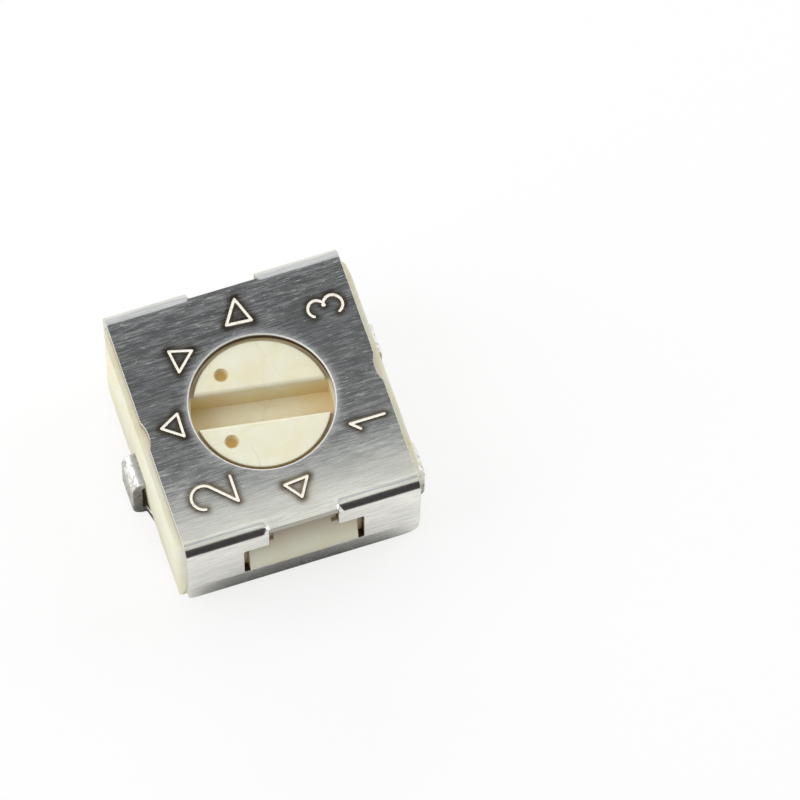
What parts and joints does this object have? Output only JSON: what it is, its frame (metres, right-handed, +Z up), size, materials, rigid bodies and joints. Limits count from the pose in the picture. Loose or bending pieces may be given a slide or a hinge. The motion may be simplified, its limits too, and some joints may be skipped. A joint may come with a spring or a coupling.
{
  "type": "trimmer potentiometer",
  "caption": "Sealed surface-mount trimmer potentiometer with a folded steel cover, a slotted screwdriver rotor that turns between stops, and J-hook solder terminals.",
  "frame": {"origin": "centre of the footprint, on the plane of the solder pads under the J-hooks", "axes": "+X from the wiper terminal's side to the end terminals' side, along the folded front edge; +Y to the back; +Z up through the rotor"},
  "size_m": [0.0048, 0.0044, 0.0025],
  "materials": {
    "housing_plastic": "ivory moulded thermoplastic, fine satin",
    "rotor_plastic": "ivory moulded thermoplastic, smooth",
    "cover_steel": "stainless sheet brushed along the folds, laser marked",
    "terminal_tin": "tin-plated strip, bright with scuffs",
    "seal_rubber": "silicone O-ring",
    "spring_metal": "plated contact spring",
    "alumina": "fired alumina, matt",
    "cermet_film": "fired resistive film",
    "conductor_film": "fired silver film, matt"
  },
  "bodies": {
    "base": {"housing": "housing_plastic", "cover": "cover_steel", "o_ring": "seal_rubber", "substrate": "alumina", "resistive_track": "cermet_film", "collector": "conductor_film", "end_pad_1": "conductor_film", "end_pad_3": "conductor_film", "terminal_1": "terminal_tin", "terminal_2": "terminal_tin", "terminal_3": "terminal_tin"},
    "rotor_set": {"rotor": "rotor_plastic", "wiper": "spring_metal"}
  },
  "joints": [
    {"name": "rotor_turn", "type": "hinge", "parent": "base", "child": "rotor_set", "pos_m": [0, 0, 0.0018], "axis": [0, 0, 1], "range_deg": [-95.7, 114.3]}
  ]
}
